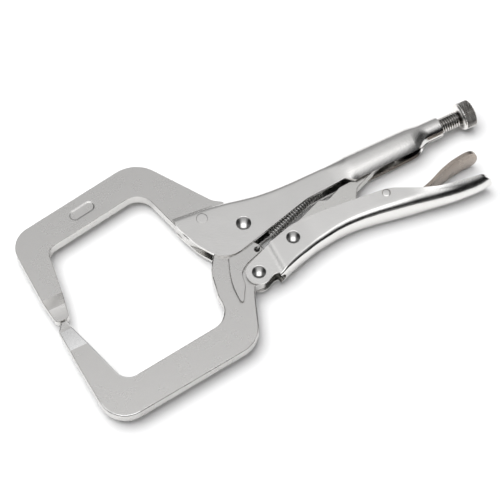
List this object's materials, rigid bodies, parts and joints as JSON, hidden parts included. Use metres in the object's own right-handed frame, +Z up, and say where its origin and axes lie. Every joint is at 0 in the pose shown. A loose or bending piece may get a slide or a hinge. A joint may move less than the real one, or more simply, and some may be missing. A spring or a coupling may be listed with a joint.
{
  "type": "locking pliers",
  "caption": "Locking C-clamp pliers with long C-shaped jaws, a toggle lever with a release tail, and a knurled screw that sets the grip.",
  "frame": {"origin": "under the middle of the closed tool, which lies on its side", "axes": "+X along the adjusting screw from the jaws to the knob, +Y from the lever towards the fixed jaw's arm, +Z up along the rivets"},
  "size_m": [0.2817, 0.1416, 0.0188],
  "materials": {
    "plated_sheet": "bright nickel plate, slightly grained",
    "blasted_jaw": "fine blasted plate, satin",
    "satin_strip": "satin plate",
    "polished_rivet": "polished",
    "bright_screw": "bright plate on turned steel",
    "spring_wire": "drawn wire"
  },
  "bodies": {
    "handle": {"upper_handle": "plated_sheet", "fixed_jaw": "blasted_jaw", "fixed_jaw_rivet": "plated_sheet", "pivot_rivet": "polished_rivet", "jaw_spring": "spring_wire"},
    "jaw": {"moving_jaw": "blasted_jaw"},
    "lever": {"lever_handle": "plated_sheet", "lever_rivet": "polished_rivet", "link_rivet": "polished_rivet", "release_pin": "polished_rivet"},
    "link": {"toggle_link": "blasted_jaw"},
    "release": {"release_lever": "satin_strip"},
    "screw": {"adjusting_screw": "bright_screw"},
    "knob": {"screw_knob": "bright_screw"}
  },
  "joints": [
    {"name": "jaw_hinge", "type": "hinge", "parent": "handle", "child": "jaw", "pos_m": [-0.01665, 0.00578, 0.0094], "axis": [0, 0, 1], "range_deg": [0, 30], "deforming": ["jaw_spring"]},
    {"name": "lever_hinge", "type": "hinge", "parent": "jaw", "child": "lever", "pos_m": [-0.02295, -0.02572, 0.0094], "axis": [0, 0, 1], "range_deg": [-84, 0]},
    {"name": "link_hinge", "type": "hinge", "parent": "lever", "child": "link", "pos_m": [0.00435, -0.01542, 0.0094], "axis": [0, 0, 1], "range_deg": [0, 74]},
    {"name": "release_hinge", "type": "hinge", "parent": "lever", "child": "release", "pos_m": [0.06495, -0.01562, 0.0094], "axis": [0, 0, 1], "range_deg": [-5.5, 0]},
    {"name": "screw_slide", "type": "slide", "parent": "handle", "child": "screw", "axis": [1, 0, 0], "range_m": [0, 0.012]},
    {"name": "knob_turn", "type": "hinge", "parent": "screw", "child": "knob", "pos_m": [0.13235, 0.01288, 0.0094], "axis": [1, 0, 0], "range_deg": [0, 2880]}
  ],
  "couplings": [
    {"joint": "lever_hinge", "follows": "jaw_hinge", "ratio": -2.7858},
    {"joint": "link_hinge", "follows": "jaw_hinge", "ratio": 2.442},
    {"joint": "knob_turn", "follows": "screw_slide", "rad_per_m": 4188.8}
  ]
}
